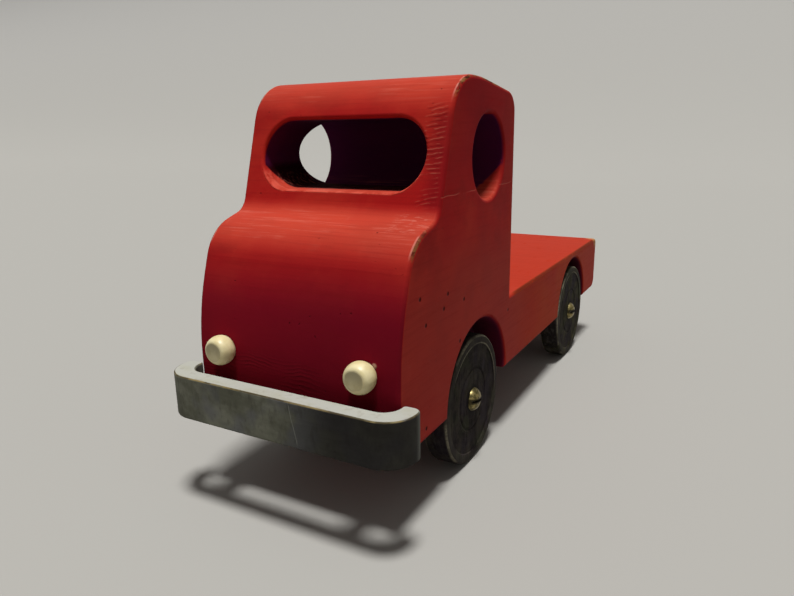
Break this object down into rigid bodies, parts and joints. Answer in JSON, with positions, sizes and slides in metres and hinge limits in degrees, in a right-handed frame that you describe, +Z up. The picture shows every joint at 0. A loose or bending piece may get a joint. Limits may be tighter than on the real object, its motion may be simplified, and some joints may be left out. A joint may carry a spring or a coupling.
{
  "type": "toy truck",
  "caption": "Painted solid-wood flatbed toy truck: sawn cab with bored windows, C-shaped bumper, peg headlights and loose disc wheels on round-head screws.",
  "frame": {"origin": "middle of the footprint box, on the floor", "axes": "+Z up, +Y towards the tail of the bed (the bumper faces -Y), +X towards the truck's left side"},
  "size_m": [0.1172, 0.3328, 0.1786],
  "materials": {
    "red_paint": "brushed red enamel on softwood, worn to wood at the edges",
    "batten_paint": "thin red enamel on softwood",
    "grey_paint": "satin blue-grey enamel on wood, worn edges",
    "slate_paint": "dark slate-grey paint on turned wood, rubbed rim",
    "cream_paint": "cream enamel on turned wood",
    "dowel_wood": "bare hardwood dowel, edges smeared with paint",
    "brass": "aged brass",
    "washer_brass": "dull brass",
    "steel_screw": "dull zinc-plated steel"
  },
  "bodies": {
    "truck_body": {"lower_body": "red_paint", "cab_top": "red_paint", "bumper": "grey_paint", "bumper_dowel_left": "dowel_wood", "bumper_dowel_right": "dowel_wood", "headlight_left": "cream_paint", "headlight_right": "cream_paint", "axle_block_front": "batten_paint", "axle_block_rear": "batten_paint", "axle_block_screws": "steel_screw", "axle_screw_front_left": "brass", "inner_washer_front_left": "washer_brass", "axle_screw_front_right": "brass", "inner_washer_front_right": "washer_brass", "axle_screw_rear_left": "brass", "inner_washer_rear_left": "washer_brass", "axle_screw_rear_right": "brass", "inner_washer_rear_right": "washer_brass"},
    "wheel_front_left_body": {"wheel_front_left": "slate_paint"},
    "wheel_front_right_body": {"wheel_front_right": "slate_paint"},
    "wheel_rear_left_body": {"wheel_rear_left": "slate_paint"},
    "wheel_rear_right_body": {"wheel_rear_right": "slate_paint"}
  },
  "joints": [
    {"name": "wheel_front_left_spin", "type": "hinge", "parent": "truck_body", "child": "wheel_front_left_body", "pos_m": [0.0423, -0.07515, 0.0315], "axis": [1, 0, 0], "continuous": true},
    {"name": "wheel_front_right_spin", "type": "hinge", "parent": "truck_body", "child": "wheel_front_right_body", "pos_m": [-0.0423, -0.07515, 0.0315], "axis": [1, 0, 0], "continuous": true},
    {"name": "wheel_rear_left_spin", "type": "hinge", "parent": "truck_body", "child": "wheel_rear_left_body", "pos_m": [0.0434, 0.09825, 0.0315], "axis": [1, 0, 0], "continuous": true},
    {"name": "wheel_rear_right_spin", "type": "hinge", "parent": "truck_body", "child": "wheel_rear_right_body", "pos_m": [-0.0434, 0.09825, 0.0315], "axis": [1, 0, 0], "continuous": true}
  ]
}
